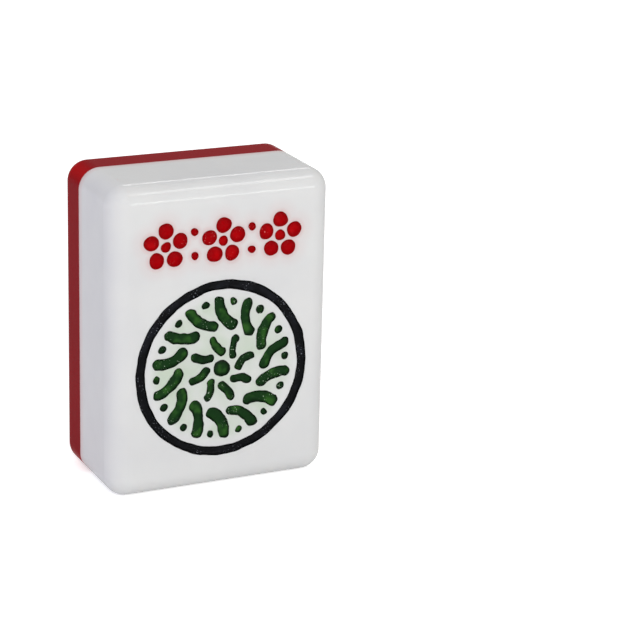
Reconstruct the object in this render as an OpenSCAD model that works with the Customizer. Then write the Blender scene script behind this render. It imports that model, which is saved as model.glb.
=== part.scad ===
// Mahjong tile of two cemented layers, standing on a short edge with its face towards -Y.
// Each ornament is a cut of a round-nosed cutter, lined with its own paint.

/* [Tile] */
// Width across the face
tile_w = 22; // [20:0.5:28]
// Height, standing on a short edge
tile_h = 30; // [27:0.5:40]
// Thickness from the face to the back
tile_d = 13; // [10:0.5:24]
// Radius of every edge and corner
edge_r = 2; // [0.6:0.1:2.4]

/* [Layers] */
// Thickness of the coloured back layer
back_t = 4.7; // [3:0.1:6]
// Thickness of the cement between the layers
bond_t = 0.1; // [0.05:0.01:0.3]

/* [Engraving] */
// Depth of a cut, unless its width keeps it shallower
cut_depth = 0.42; // [0.34:0.02:0.6]
// Thickness of the paint on the floor of a cut
paint_t = 0.14; // [0.06:0.01:0.16]
// Drop from the surface to the edge of the paint
paint_drop = 0.03; // [0.02:0.01:0.06]
// Land between the petals of a blossom, and around its eye
petal_land = 0.25; // [0.15:0.05:0.4]

/* [Medallion] */
// Margin from the sides of the tile to the ring
ring_margin = 2.4; // [2:0.1:3]
// Margin from the base of the tile to the ring
ring_base = 3.3; // [2:0.1:3.5]
// Width of the ring
ring_w = 0.9; // [0.7:0.05:1.2]
// Land between the ring and the petals inside it
ring_land = 0.65; // [0.4:0.05:0.9]
// Diameter of the eye in the middle
eye_d = 1.7; // [1.2:0.1:2]
// Width of an inner petal
inner_w = 0.75; // [0.65:0.05:1]
// Gap between the feet of neighbouring inner petals
inner_gap = 0.5; // [0.45:0.05:0.8]
// Width of an outer petal
outer_w = 1.05; // [0.8:0.05:1.2]
// Gap between the feet of neighbouring outer petals
outer_gap = 0.88; // [0.7:0.02:1.2]
// Land between the tiers
tier_land = 0.42; // [0.3:0.02:0.6]
// Diameter of the dots between the tips of the outer petals
dot_d = 0.72; // [0.6:0.04:0.9]

/* [Face blossoms] */
// Margin from the sides of the tile to the row of blossoms
row_margin = 2.5; // [2:0.1:4]
// Land above and below the row
row_land = 0.6; // [0.4:0.1:1.2]
// Gap between neighbouring blossoms
row_gap = 1.2; // [1.1:0.1:2]
// Diameter of a petal on the face
face_petal_d = 1.5; // [1.2:0.05:1.6]

/* [Back branch] */
// Margin above and below the branch
spray_margin = 3; // [2:0.1:5]
// Width of the branch at its foot
foot_w = 2; // [1.4:0.1:2.4]
// Width of the branch in its middle
middle_w = 1.6; // [1.2:0.1:1.8]
// Width of the branch near its tip
tip_w = 1.2; // [0.9:0.1:1.4]
// Width of a twig
twig_w = 0.85; // [0.7:0.05:1]
// Diameter of a petal on the back
back_petal_d = 1.5; // [1.2:0.05:1.6]
// Diameter of a bud
bud_d = 1.4; // [1:0.1:1.6]
// Gap between a twig and its bud
bud_gap = 0.35; // [0.2:0.05:0.5]

/* [Hidden] */
$fn = 72;

white = "#e6e6e2";
cement = "#f0d8d8";
red = "#8f0f18";
black = "#16181c";
green = "#1e4b23";
vermilion = "#bf0008";
gold = "#c8872d";

// One overrun serves all cuts
overrun = 1;
petals = 5;
petal_pitch = 360 / petals;

// Half sizes of the box that the tumbled edges wrap
core = [tile_w / 2 - edge_r, tile_d / 2 - edge_r, tile_h / 2 - edge_r];
seam_back = tile_d / 2 - back_t;
seam_front = seam_back - bond_t;

// The cutter dwells at the ends of a stroke, so they come out slightly larger
dwell_share = 1.06;

// A narrow cut is shallower: its depth stays within this share of its width
depth_share = 0.45;

// The row of blossoms takes its room first, and the ring fits what is left
face_blossom_r = blossom_r(face_petal_d);
row_room = 2 * (face_blossom_r + row_land);
ring_r = min(tile_w / 2 - ring_margin, (tile_h - edge_r - row_room - ring_base) / 2);
ring_in = ring_r - ring_w;
ring_z = ring_base + ring_r;
row_z = (ring_z + ring_r + tile_h - edge_r) / 2;
row_pitch = 2 * face_blossom_r + row_gap;
row_count = floor((tile_w - 2 * row_margin + row_gap) / row_pitch);
row_dot_z = face_blossom_r / 2;

// Radii of the ends of the petals, from the eye out to the ring
inner_share = 0.4;
inner_from = eye_d / 2 + tier_land + inner_w / 2;
outer_to = ring_in - ring_land - outer_w / 2;
tier_step = inner_w / 2 + tier_land + outer_w / 2;
petal_room = outer_to - inner_from - tier_step;
inner_to = inner_from + inner_share * petal_room;
outer_from = inner_to + tier_step;
inner_count = floor(2 * PI * inner_from / (inner_w + inner_gap));
outer_count = floor(2 * PI * outer_from / (outer_w + outer_gap));
inner_sweep = 18;
outer_sweep = 16;
petal_bend_share = 0.12;

// Branch on the back, in shares of its height: start, end, bend to the left of the way
spray_h = tile_h - 2 * spray_margin;
trunk_shares = [
    [[-0.195, 0.042], [0.038, 0.288], -0.11],
    [[0.048, 0.382], [-0.071, 0.596], 0.11],
    [[-0.065, 0.672], [0.058, 0.825], -0.11]
];
trunk_w = [foot_w, middle_w, tip_w];
twig_shares = [
    [[-0.163, 0.142], [-0.204, 0.246], 0.12],
    [[0.008, 0.092], [0.15, 0.121], -0.15],
    [[0.067, 0.183], [0.158, 0.217], 0.12],
    [[0.083, 0.873], [0.129, 0.929], -0.12],
    [[-0.031, 0.771], [-0.042, 0.888], -0.1],
    [[0.096, 0.788], [0.204, 0.825], -0.14]
];
spray_blossom_shares = [[0.204, 0.417], [-0.196, 0.467], [0.192, 0.642], [-0.188, 0.758]];
blossom_turns = [20, -10, 5, 30];

// Distance from the middle of a blossom to the middle of its petals
function petal_reach(d) = (d + petal_land) / 2 / sin(petal_pitch / 2);
function blossom_r(d) = petal_reach(d) + d / 2;
function blossom_eye_d(d) = 2 * (petal_reach(d) - petal_land) - d;
function polar(r, a) = [r * cos(a), r * sin(a)];
function spray_point(share) = [share.x * spray_h, spray_margin + share.y * spray_h];

// Arc across a cut: its radius, and the height of its centre over the surface
function cut_at(w) = min(cut_depth, depth_share * w);
function arc_r(w, d) = (w ^ 2 / 4 + d ^ 2) / (2 * d);
function groove(w) = let (d = cut_at(w), r = arc_r(w, d)) [r, r - d];

// The same for the hollow top of the paint, which meets the groove just below the surface
function hollow(w) =
    let (g = groove(w))
    let (rim = 2 * sqrt(g[0] ^ 2 - (g[1] + paint_drop) ^ 2))
    let (d = cut_at(w) - paint_t - paint_drop)
    let (r = arc_r(rim, d))
    [r, r - d - paint_drop];
function section(w) = $hollow ? hollow(w) : groove(w);

// Tools that clear the cuts of their children
module cut() {
    $hollow = false;
    children();
}

// Paint that lines the cuts of its children
module lining() {
    difference() {
        cut() children();
        let ($hollow = true) children();
    }
}

// Round dimple
module dot(w) {
    arc = section(w);
    translate([0, 0, arc[1]]) sphere(arc[0]);
}

// The children are drawn with X to the right, Y up and Z out of the surface
module on_face() {
    translate([0, -tile_d / 2, 0]) rotate([90, 0, 0]) children();
}

module on_back() {
    translate([0, tile_d / 2, 0]) rotate([90, 0, 180]) children();
}

// Stroke along an arc from p to q, bent to the left by a share of its length
module stroke(p, q, bend_share, w) {
    arc = section(w);
    chord = norm(q - p);
    rise = abs(bend_share) * chord;
    r = arc_r(chord, rise);
    half = asin(chord / 2 / r);
    middle = (p + q) / 2;
    turn = atan2(q.y - p.y, q.x - p.x) + (bend_share < 0 ? 180 : 0);
    translate(middle) rotate(turn) translate([0, rise - r])
        rotate(90 - half) rotate_extrude(angle = 2 * half) translate([r, arc[1]]) circle(arc[0]);
    for (end = [p, q])
        translate(end) scale(dwell_share) dot(w);
}

// Petals of one blossom
module blossom_petals(d, turn) {
    for (i = [0:petals - 1])
        translate(polar(petal_reach(d), turn + i * petal_pitch)) dot(d);
}

// Children repeated on both sides of a middle plane
module both(normal) {
    children();
    mirror(normal) children();
}

// Quarter of a round bar along Z
module edge_bar(length) {
    rotate_extrude(angle = 90) square([edge_r, length]);
}

// Whole tile with tumbled edges, its middle at the origin
module tumbled_tile() {
    size = 2 * core;
    x = [1, 0, 0];
    y = [0, 1, 0];
    z = [0, 0, 1];
    cube(size, center = true);
    both(x) translate([core.x, -core.y, -core.z]) cube([edge_r, size.y, size.z]);
    both(y) translate([-core.x, core.y, -core.z]) cube([size.x, edge_r, size.z]);
    both(z) translate([-core.x, -core.y, core.z]) cube([size.x, size.y, edge_r]);
    both(x) both(y) translate([core.x, core.y, -core.z]) edge_bar(size.z);
    both(x) both(z) translate(core) rotate([90, 0, 0]) edge_bar(size.y);
    both(y) both(z) translate([-core.x, core.y, core.z]) rotate([90, 0, 90]) edge_bar(size.x);
    both(x) both(y) both(z) translate(core) intersection() {
        sphere(edge_r);
        cube(2 * edge_r);
    }
}

// Slice of the tile between two depths
module layer(from, to) {
    intersection() {
        translate([0, 0, tile_h / 2]) tumbled_tile();
        translate([-tile_w / 2 - overrun, from, -overrun])
            cube([tile_w + 2 * overrun, to - from, tile_h + 2 * overrun]);
    }
}

module ring() {
    arc = section(ring_w);
    translate([0, ring_z]) rotate_extrude() translate([ring_r - ring_w / 2, arc[1]]) circle(arc[0]);
}

module outer_petals() {
    translate([0, ring_z]) for (i = [0:outer_count - 1]) {
        a = i * 360 / outer_count;
        stroke(polar(outer_from, a), polar(outer_to, a + outer_sweep), petal_bend_share, outer_w);
    }
}

module inner_petals() {
    translate([0, ring_z]) for (i = [0:inner_count - 1]) {
        a = i * 360 / inner_count;
        stroke(polar(inner_from, a), polar(inner_to, a + inner_sweep), petal_bend_share, inner_w);
    }
}

module rosette_dots() {
    translate([0, ring_z]) {
        dot(eye_d);
        for (i = [0:outer_count - 1])
            translate(polar(outer_to, (i + 0.5) * 360 / outer_count + outer_sweep)) dot(dot_d);
    }
}

// Middle of each blossom in the row on the face
module along_row() {
    for (i = [0:row_count - 1])
        translate([(i - (row_count - 1) / 2) * row_pitch, row_z]) children();
}

module row_petals() {
    along_row() blossom_petals(face_petal_d, 90);
}

module row_dots() {
    along_row() dot(blossom_eye_d(face_petal_d));
    for (i = [1:row_count - 1])
        translate([(i - row_count / 2) * row_pitch, row_z])
            for (side = [-1, 1])
                translate([0, side * row_dot_z]) dot(dot_d);
}

module branch() {
    for (i = [0:len(trunk_shares) - 1]) {
        way = trunk_shares[i];
        stroke(spray_point(way[0]), spray_point(way[1]), way[2], trunk_w[i]);
    }
    for (way = twig_shares)
        stroke(spray_point(way[0]), spray_point(way[1]), way[2], twig_w);
}

module spray_petals() {
    for (i = [0:len(spray_blossom_shares) - 1])
        translate(spray_point(spray_blossom_shares[i])) blossom_petals(back_petal_d, blossom_turns[i]);
}

module spray_eyes() {
    for (share = spray_blossom_shares)
        translate(spray_point(share)) dot(blossom_eye_d(back_petal_d));
}

// A bud follows the end of each twig
module buds() {
    for (way = twig_shares) {
        p = spray_point(way[0]);
        q = spray_point(way[1]);
        step = twig_w / 2 + bud_gap + bud_d / 2;
        translate(q + (q - p) * step / norm(q - p)) dot(bud_d);
    }
}

module face_block() {
    color(white) difference() {
        layer(-tile_d / 2 - overrun, seam_front);
        on_face() cut() {
            ring();
            outer_petals();
            inner_petals();
            rosette_dots();
            row_petals();
            row_dots();
        }
    }
}

module bond_film() {
    color(cement) layer(seam_front, seam_back);
}

module back_layer() {
    color(red) difference() {
        layer(seam_back, tile_d / 2 + overrun);
        on_back() cut() {
            branch();
            spray_petals();
            spray_eyes();
            buds();
        }
    }
}

module ring_paint() {
    color(black) on_face() lining() ring();
}

module outer_petal_paint() {
    color(green) on_face() lining() outer_petals();
}

module inner_petal_paint() {
    color(green) on_face() lining() inner_petals();
}

module rosette_dot_paint() {
    color(green) on_face() lining() rosette_dots();
}

module face_blossom_paint() {
    color(vermilion) on_face() lining() row_petals();
}

module face_dot_paint() {
    color(vermilion) on_face() lining() row_dots();
}

module branch_paint() {
    color(black) on_back() lining() branch();
}

module back_blossom_paint() {
    color(gold) on_back() lining() spray_petals();
}

module back_eye_paint() {
    color(black) on_back() lining() spray_eyes();
}

module bud_paint() {
    color(gold) on_back() lining() buds();
}

face_block();
bond_film();
back_layer();
ring_paint();
outer_petal_paint();
inner_petal_paint();
rosette_dot_paint();
face_blossom_paint();
face_dot_paint();
branch_paint();
back_blossom_paint();
back_eye_paint();
bud_paint();
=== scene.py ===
"""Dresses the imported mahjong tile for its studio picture.

The tile is two layers of acrylic, cemented face to back. A round-nosed cutter has sunk the
ornaments into both sides, and enamel lines the cuts. A piece is modelled in millimetres,
and its finished mesh is scaled to metres.
"""

import json
import logging
import math
from collections.abc import Callable, Iterator, Sequence
from contextlib import contextmanager
from dataclasses import dataclass
from enum import Enum

import bmesh
import bpy
from mathutils import Matrix, Vector, noise


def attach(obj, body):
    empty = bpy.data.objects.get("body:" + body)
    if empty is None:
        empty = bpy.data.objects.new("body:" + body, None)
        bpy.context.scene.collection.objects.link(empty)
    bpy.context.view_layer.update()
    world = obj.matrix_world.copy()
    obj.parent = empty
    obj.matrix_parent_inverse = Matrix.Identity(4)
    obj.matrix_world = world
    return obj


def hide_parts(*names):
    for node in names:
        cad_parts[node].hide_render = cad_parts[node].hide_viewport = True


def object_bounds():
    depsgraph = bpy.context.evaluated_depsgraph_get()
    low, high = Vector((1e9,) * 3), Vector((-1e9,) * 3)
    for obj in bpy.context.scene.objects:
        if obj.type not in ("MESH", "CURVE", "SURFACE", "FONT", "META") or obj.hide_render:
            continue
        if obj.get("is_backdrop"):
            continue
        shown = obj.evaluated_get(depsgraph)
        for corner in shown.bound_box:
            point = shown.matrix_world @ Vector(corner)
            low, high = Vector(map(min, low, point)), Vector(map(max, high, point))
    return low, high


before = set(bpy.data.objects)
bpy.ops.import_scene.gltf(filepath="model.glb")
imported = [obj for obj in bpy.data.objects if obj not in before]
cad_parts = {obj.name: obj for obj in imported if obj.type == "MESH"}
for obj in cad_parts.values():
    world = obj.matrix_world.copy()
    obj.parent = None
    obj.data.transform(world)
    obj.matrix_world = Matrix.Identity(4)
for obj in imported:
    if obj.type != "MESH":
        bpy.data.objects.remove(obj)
CAD_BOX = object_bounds()

LOG = logging.getLogger("mahjong_tile")
BODY = "root"
METRES_PER_MM = 0.001
MM_PER_METRE = 1000.0
WELD = 0.0005
UP = (0.0, 0.0, 1.0)
FULL_TURN = 2 * math.pi
SEED = 7

Point = tuple[float, float]
Band = tuple[float, float]
Outline = list[Point]
Triple = tuple[float, float, float]
Colour = Triple
Given = object

TILE_SIZE: Triple = (22.0, 13.0, 30.0)
HALF_WIDTH, HALF_DEPTH, HALF_HEIGHT = (side / 2 for side in TILE_SIZE)


def from_screen(red: int, green: int, blue: int) -> Colour:
    """Turns a colour as a screen shows it into the linear colour that shaders use.

    Args:
        red: Red, from 0 to 255.
        green: Green, from 0 to 255.
        blue: Blue, from 0 to 255.

    Returns:
        The linear colour, each channel from 0 to 1.
    """
    def channel(level: int) -> float:
        """Undoes the screen curve of one channel."""
        share = level / 255
        return share / 12.92 if share <= 0.04045 else ((share + 0.055) / 1.055) ** 2.4

    return channel(red), channel(green), channel(blue)


def polar(radius: float, degrees: float) -> Point:
    """Gives the point at a radius and an angle round the origin."""
    angle = math.radians(degrees)
    return radius * math.cos(angle), radius * math.sin(angle)


def at(point: Point, turn: float = 0.0) -> Matrix:
    """Gives the place of a copy: turned by degrees in the sheet, then moved to a point."""
    return Matrix.Translation((*point, 0.0)) @ Matrix.Rotation(math.radians(turn), 4, "Z")


def clamp(value: float) -> float:
    """Holds a number between 0 and 1."""
    return min(1.0, max(0.0, value))


def whole(half: Outline) -> Outline:
    """Adds its mirrored half to an outline that starts and ends on its middle line."""
    return half + [(-x, z) for x, z in half[-2:0:-1]]


class Slot(Enum):
    """Material slots of the tile's pieces."""

    WHITE_ACRYLIC = "white_acrylic"
    CEMENT = "cement"
    RED_ACRYLIC = "red_acrylic"
    BLACK_PAINT = "black_paint"
    GREEN_PAINT = "green_paint"
    RED_PAINT = "red_paint"
    GOLD_PAINT = "gold_paint"


class Side(Enum):
    """Engraved sides of the tile, each with the turn that lays a drawn sheet on it."""

    FACE = 0.0
    BACK = math.pi

    def lay(self, half_depth: float) -> Matrix:
        """Gives the move from a sheet (X right, Y up, Z out) to this side of the tile.

        Args:
            half_depth: Distance from the middle of the tile to this side.

        Returns:
            The matrix of the move.
        """
        stand = Matrix.Rotation(math.pi / 2, 4, "X")
        turn = Matrix.Rotation(self.value, 4, "Z")
        return turn @ Matrix.Translation((0, -half_depth, 0)) @ stand


class Bench:
    """The modelling bench: the operator steps that the pieces share."""

    @staticmethod
    def hold(*pieces: bpy.types.Object) -> None:
        """Selects only these pieces and makes the first one active.

        Args:
            pieces: The pieces to hold.
        """
        bpy.ops.object.select_all(action="DESELECT")
        for piece in pieces:
            piece.select_set(True)
        bpy.context.view_layer.objects.active = pieces[0]

    @staticmethod
    def add(operator: Callable[..., set[str]], **settings: Given) -> bpy.types.Object:
        """Adds an object while nothing else is selected.

        Args:
            operator: The operator that adds it.
            settings: The operator's settings.

        Returns:
            The new object.
        """
        bpy.ops.object.select_all(action="DESELECT")
        operator(**settings)
        return bpy.context.active_object

    @staticmethod
    def modify(piece: bpy.types.Object, kind: str, **settings: Given) -> None:
        """Adds a modifier to a piece and applies it.

        Args:
            piece: The piece to change.
            kind: The modifier's type.
            settings: The modifier's settings.
        """
        Bench.hold(piece)
        bpy.ops.object.modifier_add(type=kind)
        modifier = piece.modifiers[-1]
        for name, setting in settings.items():
            setattr(modifier, name, setting)
        bpy.ops.object.modifier_apply(modifier=modifier.name)

    @staticmethod
    @contextmanager
    def editing(piece: bpy.types.Object) -> Iterator[None]:
        """Opens a piece in edit mode with all of it selected, and closes it again.

        Args:
            piece: The mesh object to open.

        Yields:
            Nothing.
        """
        Bench.hold(piece)
        bpy.ops.object.mode_set(mode="EDIT")
        bpy.ops.mesh.select_all(action="SELECT")
        yield
        bpy.ops.object.mode_set(mode="OBJECT")

    @staticmethod
    def wire(points: Sequence[Vector], closed: bool) -> bpy.types.Object:
        """Shapes a circle primitive into the section of a sweep.

        Args:
            points: The corners of the section, in order.
            closed: Whether the last corner joins the first.

        Returns:
            The wire.
        """
        wire = Bench.add(bpy.ops.mesh.primitive_circle_add, vertices=len(points))
        for vertex, point in zip(wire.data.vertices, points):
            vertex.co = point
        if not closed:
            last = {0, len(points) - 1}
            with Bench.editing(wire):
                for edge in bmesh.from_edit_mesh(wire.data).edges:
                    edge.select_set({vertex.index for vertex in edge.verts} == last)
                bpy.ops.mesh.delete(type="EDGE")
        return wire

    @staticmethod
    def spin(wire: bpy.types.Object, centre: Point, angle: float, steps: int) -> bpy.types.Object:
        """Sweeps a wire round an upright axis.

        Args:
            wire: The section.
            centre: Where the axis stands.
            angle: The turn in radians, anticlockwise from above.
            steps: Number of steps of the turn.

        Returns:
            The swept piece, which is the wire's own object.
        """
        with Bench.editing(wire):
            # The operator's own sense is clockwise
            bpy.ops.mesh.spin(steps=steps, angle=-angle, center=(*centre, 0.0), axis=UP)
        return wire

    @staticmethod
    def join(pieces: Sequence[bpy.types.Object]) -> bpy.types.Object:
        """Joins pieces into the first one.

        Args:
            pieces: The pieces to join, one or more.

        Returns:
            The first piece.
        """
        Bench.hold(*pieces)
        if len(pieces) > 1:
            bpy.ops.object.join()
        return pieces[0]

    @staticmethod
    def weld(piece: bpy.types.Object) -> bpy.types.Object:
        """Merges the doubles of a swept piece and turns its faces outwards.

        Args:
            piece: The swept piece.

        Returns:
            The same piece.
        """
        with Bench.editing(piece):
            bpy.ops.mesh.remove_doubles(threshold=WELD)
            bpy.ops.mesh.select_all(action="SELECT")
            bpy.ops.mesh.normals_make_consistent(inside=False)
        return piece

    @staticmethod
    def move(piece: bpy.types.Object, place: Matrix) -> bpy.types.Object:
        """Puts a piece in a place, with the place applied to its mesh.

        Args:
            piece: The piece to move.
            place: Where it goes.

        Returns:
            The same piece.
        """
        Bench.hold(piece)
        piece.matrix_world = place
        bpy.ops.object.transform_apply(location=True, rotation=True, scale=True)
        return piece

    @staticmethod
    def copy(piece: bpy.types.Object, place: Matrix) -> bpy.types.Object:
        """Copies a piece with its own mesh and puts the copy in a place.

        Args:
            piece: The piece to copy.
            place: Where the copy goes.

        Returns:
            The copy.
        """
        Bench.hold(piece)
        bpy.ops.object.duplicate(linked=False)
        return Bench.move(bpy.context.active_object, place)

    @staticmethod
    def scrap(piece: bpy.types.Object) -> None:
        """Deletes a piece that has served its turn."""
        Bench.hold(piece)
        bpy.ops.object.delete()

    @staticmethod
    def carve(piece: bpy.types.Object, cutter: bpy.types.Object) -> None:
        """Cuts a cutter out of a piece and deletes the cutter."""
        Bench.modify(piece, "BOOLEAN", operation="DIFFERENCE", solver="EXACT", object=cutter)
        Bench.scrap(cutter)

    @staticmethod
    def polish(piece: bpy.types.Object, sharp_degrees: float) -> None:
        """Smooths a piece, with sharp edges kept and its flat faces left flat.

        Args:
            piece: The piece to smooth.
            sharp_degrees: The angle from which an edge stays sharp.
        """
        Bench.hold(piece)
        bpy.ops.object.shade_smooth_by_angle(angle=math.radians(sharp_degrees))
        Bench.modify(piece, "WEIGHTED_NORMAL", keep_sharp=True)

    @staticmethod
    def hand_over(piece: bpy.types.Object, node: str, slot: Slot,
                  material: bpy.types.Material) -> None:
        """Scales a finished piece to metres, dresses it and puts it in its CAD node's place.

        Args:
            piece: The finished piece, in millimetres.
            node: The CAD node that it replaces.
            slot: The slot of its finish, which is logged.
            material: Its material.
        """
        Bench.move(piece, Matrix.Scale(METRES_PER_MM, 4))
        piece.name = piece.data.name = f"{node}_dressed"
        piece.data.materials.clear()
        piece.data.materials.append(material)
        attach(piece, BODY)
        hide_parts(node)
        LOG.info("%s: %d faces, %s", piece.name, len(piece.data.polygons), slot.value)


@dataclass(frozen=True)
class RoundNose:
    """Cross-section of a cut, from its middle to its lip, with the paint that lines it."""

    width: float
    full_depth: float = 0.42
    depth_share: float = 0.45
    paint: float = 0.14
    lip: float = 0.05
    lip_rest_degrees: float = 15.0
    overrun: float = 0.03
    clearance: float = 0.3
    floor_steps: int = 8
    lip_steps: int = 4

    @property
    def depth(self) -> float:
        """Depth of the cut."""
        return min(self.full_depth, self.depth_share * self.width)

    @property
    def floor_radius(self) -> float:
        """Radius of the floor of the cut."""
        return (self.width ** 2 / 4 + self.depth ** 2) / (2 * self.depth)

    @property
    def floor_centre(self) -> float:
        """Height of the middle of the floor's arc over the surface."""
        return self.floor_radius - self.depth

    @property
    def lip_reach(self) -> float:
        """Distance from the middle of the cut to the middle of its lip's arc."""
        span = self.floor_radius + self.lip
        return math.sqrt(span ** 2 - (self.floor_centre + self.lip) ** 2)

    @property
    def lip_angle(self) -> float:
        """Angle from the level at which the floor runs into the lip."""
        return math.atan2(self.floor_centre + self.lip, self.lip_reach)

    @staticmethod
    def arc(centre: Point, radius: float, start: float, end: float, steps: int) -> Outline:
        """Samples an arc.

        Args:
            centre: Middle of the arc.
            radius: Its radius.
            start: Angle of the first point, in radians.
            end: Angle of the last point, in radians.
            steps: Number of steps between them.

        Returns:
            The points, both ends among them.
        """
        x, z = centre
        angles = [start + (end - start) * step / steps for step in range(steps + 1)]
        return [(x + radius * math.cos(a), z + radius * math.sin(a)) for a in angles]

    def floor_arc(self) -> Outline:
        """Gives the floor of the cut, from the middle out to the lip."""
        centre = (0.0, self.floor_centre)
        return self.arc(centre, self.floor_radius, -math.pi / 2, -self.lip_angle, self.floor_steps)

    def lip_arc(self) -> Outline:
        """Gives the rounded lip, from the floor of the cut to just under the surface.

        Returns:
            The points of the lip.
        """
        rest = math.radians(self.lip_rest_degrees)
        return self.arc((self.lip_reach, -self.lip), self.lip, math.pi - self.lip_angle,
                        math.pi / 2 + rest, self.lip_steps)

    def cutter(self) -> Outline:
        """Gives half the outline of the tool: floor, rounded lip and the air over it.

        Returns:
            The points, from the middle of the floor round to the middle of the top.
        """
        rest = math.radians(self.lip_rest_degrees)
        lip = self.lip_arc()
        x, z = lip[-1]
        edge = (x + self.overrun * math.cos(rest), z + self.overrun * math.sin(rest))
        top = [(edge[0], self.clearance), (0.0, self.clearance)]
        return self.floor_arc() + lip[1:] + [edge] + top

    def lining(self) -> Outline:
        """Gives half the outline of the paint, which thins to nothing on the lip.

        Returns:
            The points, out along the cut and back over the open side.
        """
        under = self.floor_arc() + self.lip_arc()[1:-1]
        reach = under[-1][0]
        over = [(0.0, self.paint - self.depth)]
        for before, (x, z), after in zip(under, under[1:], under[2:]):
            run, climb = after[0] - before[0], after[1] - before[1]
            thickness = self.paint * (1 - (x / reach) ** 2) / math.hypot(run, climb)
            over.append((x - climb * thickness, z + run * thickness))
        return under + over[::-1]


@dataclass(frozen=True)
class Dot:
    """Round dimple with its middle at the origin."""

    width: float
    steps: int = 40

    def sweep(self, outline: Outline) -> bpy.types.Object:
        """Turns half an outline round its middle and returns the solid."""
        wire = Bench.wire([Vector((x, 0, z)) for x, z in outline], closed=False)
        return Bench.weld(Bench.spin(wire, (0.0, 0.0), FULL_TURN, self.steps))


@dataclass(frozen=True)
class Ring:
    """Closed round groove with its middle at the origin."""

    width: float
    radius: float
    steps: int = 180

    def sweep(self, outline: Outline) -> bpy.types.Object:
        """Turns a whole outline round the middle of the ring and returns the solid."""
        wire = Bench.wire([Vector((self.radius + x, 0, z)) for x, z in whole(outline)], closed=True)
        return Bench.weld(Bench.spin(wire, (0.0, 0.0), FULL_TURN, self.steps))


@dataclass(frozen=True)
class Stroke:
    """Groove along an arc with round ends, bent to the left by a share of its length."""

    width: float
    start: Point
    end: Point
    bend: float
    step: float = 0.2
    least_steps: int = 6
    cap_steps: int = 20

    def section(self, foot: Vector, across: Vector, outline: Outline,
                closed: bool) -> bpy.types.Object:
        """Stands an outline on the sheet.

        Args:
            foot: Where its middle stands.
            across: The way that its width points.
            outline: Half the outline.
            closed: Whether the mirrored half is added.

        Returns:
            The wire.
        """
        points = whole(outline) if closed else outline
        return Bench.wire([foot + across * x + Vector((0, 0, z)) for x, z in points], closed)

    def sweep(self, outline: Outline) -> bpy.types.Object:
        """Draws an outline along the arc and closes it with round ends.

        Args:
            outline: Half the outline of the groove.

        Returns:
            The solid.
        """
        start, end = Vector((*self.start, 0)), Vector((*self.end, 0))
        chord = end - start
        rise = abs(self.bend) * chord.length
        radius = (chord.length ** 2 / 4 + rise ** 2) / (2 * rise)
        half = math.copysign(math.asin(chord.length / 2 / radius), self.bend)
        ahead = Matrix.Rotation(half, 3, "Z") @ chord.normalized()
        right = Vector((ahead.y, -ahead.x, 0))
        centre = start + right * math.copysign(radius, self.bend)
        steps = max(self.least_steps, round(abs(2 * half) * radius / self.step))
        far_right = Matrix.Rotation(-2 * half, 3, "Z") @ right
        turns = (
            (start, right, True, (centre.x, centre.y), -2 * half, steps),
            (start, right, False, self.start, -math.pi, self.cap_steps),
            (end, far_right, False, self.end, math.pi, self.cap_steps),
        )
        parts = []
        for foot, across, closed, axis, angle, count in turns:
            wire = self.section(foot, across, outline, closed)
            parts.append(Bench.spin(wire, axis, angle, count))
        return Bench.weld(Bench.join(parts))


Motif = Dot | Ring | Stroke


@dataclass(frozen=True)
class HandWork:
    """Unsteadiness of hand work: the edges of a cut wander, and its paint dries in lumps."""

    wander: float = 0.12
    wander_size: float = 1.5
    chatter: float = 0.03
    chatter_size: float = 0.5
    lump: float = 0.08
    lump_size: float = 0.35
    level: float = 0.3
    calm_depth: float = 0.2

    def unsettle(self, piece: bpy.types.Object) -> bpy.types.Object:
        """Lets the edges of a piece wander, alike for a cutter and for its paint.

        Args:
            piece: The piece, drawn on its sheet.

        Returns:
            The same piece.
        """
        for vertex in piece.data.vertices:
            spot = Vector((vertex.co.x, vertex.co.y, 0.0))
            slow = noise.noise_vector(spot / self.wander_size) * self.wander
            quick = noise.noise_vector(spot / self.chatter_size) * self.chatter
            vertex.co.xy += (slow + quick).xy
        return piece

    def dry(self, paint: bpy.types.Object) -> bpy.types.Object:
        """Raises lumps on the open side of the paint.

        Args:
            paint: The paint, drawn on its sheet.

        Returns:
            The same paint.
        """
        normals = [vertex.normal.z for vertex in paint.data.vertices]
        for vertex, upward in zip(paint.data.vertices, normals):
            open_share = clamp((upward - self.level) / (1 - self.level))
            deep_share = clamp(-vertex.co.z / self.calm_depth)
            height = self.lump * noise.noise(vertex.co / self.lump_size)
            vertex.co.z += open_share * deep_share * height
        return paint


@dataclass(frozen=True)
class Repeat:
    """A motif and the places where copies of it stand on a sheet."""

    motif: Motif
    places: tuple[Matrix, ...]

    def build(self, outline: Callable[[RoundNose], Outline]) -> bpy.types.Object:
        """Models the motif once and copies it to its places.

        Args:
            outline: Picks the outline of the cutter or of the paint.

        Returns:
            The joined copies.
        """
        model = self.motif.sweep(outline(RoundNose(self.motif.width)))
        copies = [Bench.copy(model, place) for place in self.places]
        Bench.scrap(model)
        return Bench.join(copies)


@dataclass(frozen=True)
class Ornament:
    """All the cuts that one CAD node's paint lines."""

    node: str
    slot: Slot
    repeats: tuple[Repeat, ...]
    hand: HandWork = HandWork()

    def cutters(self) -> Iterator[bpy.types.Object]:
        """Builds the tools that clear the cuts, one for each motif, since close lips may cross."""
        for repeat in self.repeats:
            yield self.hand.unsettle(repeat.build(RoundNose.cutter))

    def lining(self) -> bpy.types.Object:
        """Builds the paint in the cuts."""
        paint = Bench.join([repeat.build(RoundNose.lining) for repeat in self.repeats])
        return self.hand.unsettle(self.hand.dry(paint))


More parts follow.
